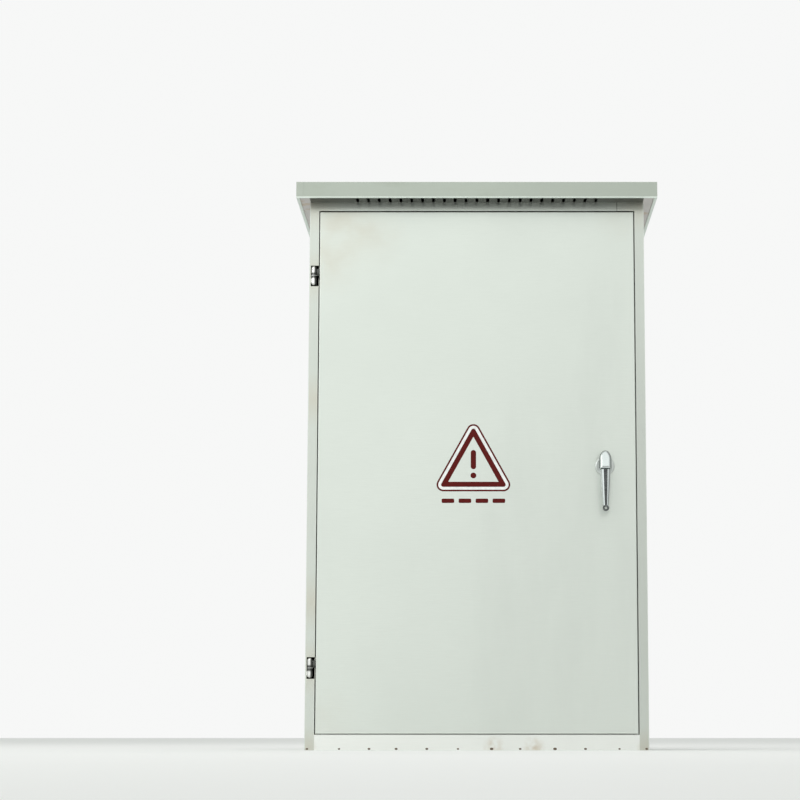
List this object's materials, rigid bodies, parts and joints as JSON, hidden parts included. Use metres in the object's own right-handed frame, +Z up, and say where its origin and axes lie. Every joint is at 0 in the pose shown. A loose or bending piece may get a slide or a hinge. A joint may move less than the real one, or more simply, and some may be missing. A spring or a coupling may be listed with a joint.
{
  "type": "switchboard cabinet",
  "caption": "Floor-standing stainless sheet-metal switchboard cabinet with a gabled rain roof, vented soffit, louvred sides, hinged door with swing handle, and breaker gear on a plate.",
  "frame": {"origin": "middle of the rectangle of anchor holes, on the floor plane", "axes": "+Z up, -Y towards the viewer of the door, +X to the right seen from the front"},
  "size_m": [0.75, 0.4486, 1.211],
  "materials": {
    "stainless": "satin stainless sheet",
    "stainless_door": "satin stainless sheet, faint waviness",
    "galvanised": "zinc-plated steel",
    "hinge_steel": "dull steel",
    "bright_steel": "bright zinc",
    "chrome": "polished chrome",
    "lock_brass": "machined",
    "seal": "foamed rubber",
    "sign_red": "printed vinyl",
    "sign_white": "printed vinyl",
    "gland_plastic": "moulded nylon",
    "breaker_case": "moulded resin",
    "toggle_black": "moulded",
    "copper": "rolled copper bar",
    "insulator_red": "moulded polyester",
    "brass": "extruded bar",
    "duct_grey": "extruded PVC"
  },
  "bodies": {
    "cabinet": {"back_panel": "stainless", "base_angle_left": "galvanised", "base_angle_right": "galvanised", "branch_breaker_case_1": "breaker_case", "branch_breaker_case_2": "breaker_case", "branch_breaker_case_3": "breaker_case", "busbar_1": "copper", "busbar_2": "copper", "busbar_3": "copper", "busbar_insulators": "insulator_red", "earth_bar": "brass", "floor_panel": "galvanised", "frame_rail_bottom": "stainless", "frame_rail_top": "stainless", "frame_stile_left": "stainless", "frame_stile_right": "stainless", "gland_bodies": "gland_plastic", "gland_cap_nuts": "gland_plastic", "gland_locknuts": "gland_plastic", "gland_plate": "galvanised", "gland_plate_screws": "bright_steel", "hinge_frame_leaf_lower": "hinge_steel", "hinge_frame_leaf_upper": "hinge_steel", "hinge_pins": "hinge_steel", "hinge_washers": "bright_steel", "main_breaker_case": "breaker_case", "mounting_plate": "galvanised", "neutral_bar": "brass", "plate_nuts": "bright_steel", "plate_studs": "bright_steel", "roof_cover": "stainless", "roof_gable_left": "stainless", "roof_gable_right": "stainless", "roof_soffit": "stainless", "side_panel_left": "stainless", "side_panel_right": "stainless", "wiring_duct_left": "duct_grey", "wiring_duct_right": "duct_grey"},
    "door": {"door_panel": "stainless_door", "door_gasket": "seal", "door_stiffener_left": "galvanised", "door_stiffener_right": "galvanised", "hinge_door_leaf_upper": "hinge_steel", "hinge_door_leaf_lower": "hinge_steel", "handle_rosette": "chrome", "latch_case": "galvanised", "rod_guide_upper": "galvanised", "rod_guide_lower": "galvanised", "sign_red": "sign_red", "sign_white": "sign_white"},
    "handle": {"handle_lever": "chrome", "handle_spindle": "bright_steel"},
    "key_cover": {"key_cover": "chrome"},
    "key_barrel": {"key_barrel": "lock_brass"},
    "upper_rod": {"latch_rod_upper": "galvanised"},
    "lower_rod": {"latch_rod_lower": "galvanised"},
    "main_toggle": {"main_breaker_toggle": "toggle_black"},
    "branch_toggle_1": {"branch_toggle_1": "toggle_black"},
    "branch_toggle_2": {"branch_toggle_2": "toggle_black"},
    "branch_toggle_3": {"branch_toggle_3": "toggle_black"}
  },
  "joints": [
    {"name": "door_hinge", "type": "hinge", "parent": "cabinet", "child": "door", "pos_m": [-0.34, -0.186, 0.5735], "axis": [0, 0, -1], "range_deg": [0, 120]},
    {"name": "handle_turn", "type": "hinge", "parent": "door", "child": "handle", "pos_m": [0.264, -0.185, 0.58], "axis": [0, 1, 0], "range_deg": [0, 90]},
    {"name": "key_cover_flip", "type": "hinge", "parent": "handle", "child": "key_cover", "pos_m": [0.264, -0.2065, 0.6025], "axis": [-1, 0, 0], "range_deg": [0, 100]},
    {"name": "key_barrel_turn", "type": "hinge", "parent": "handle", "child": "key_barrel", "pos_m": [0.264, -0.2, 0.58], "axis": [0, 1, 0], "range_deg": [0, 90]},
    {"name": "upper_rod_slide", "type": "slide", "parent": "door", "child": "upper_rod", "axis": [0, 0, -1], "range_m": [0, 0.0166]},
    {"name": "lower_rod_slide", "type": "slide", "parent": "door", "child": "lower_rod", "axis": [0, 0, 1], "range_m": [0, 0.0166]},
    {"name": "main_toggle_tilt", "type": "hinge", "parent": "cabinet", "child": "main_toggle", "pos_m": [0, 0.071, 0.815], "axis": [1, 0, 0], "range_deg": [0, 26]},
    {"name": "branch_toggle_1_tilt", "type": "hinge", "parent": "cabinet", "child": "branch_toggle_1", "pos_m": [-0.12, 0.091, 0.395], "axis": [1, 0, 0], "range_deg": [0, 26]},
    {"name": "branch_toggle_2_tilt", "type": "hinge", "parent": "cabinet", "child": "branch_toggle_2", "pos_m": [0, 0.091, 0.395], "axis": [1, 0, 0], "range_deg": [0, 26]},
    {"name": "branch_toggle_3_tilt", "type": "hinge", "parent": "cabinet", "child": "branch_toggle_3", "pos_m": [0.12, 0.091, 0.395], "axis": [1, 0, 0], "range_deg": [0, 26]}
  ],
  "couplings": [
    {"joint": "upper_rod_slide", "follows": "handle_turn", "m_per_rad": 0.0105},
    {"joint": "lower_rod_slide", "follows": "handle_turn", "m_per_rad": 0.0105}
  ]
}
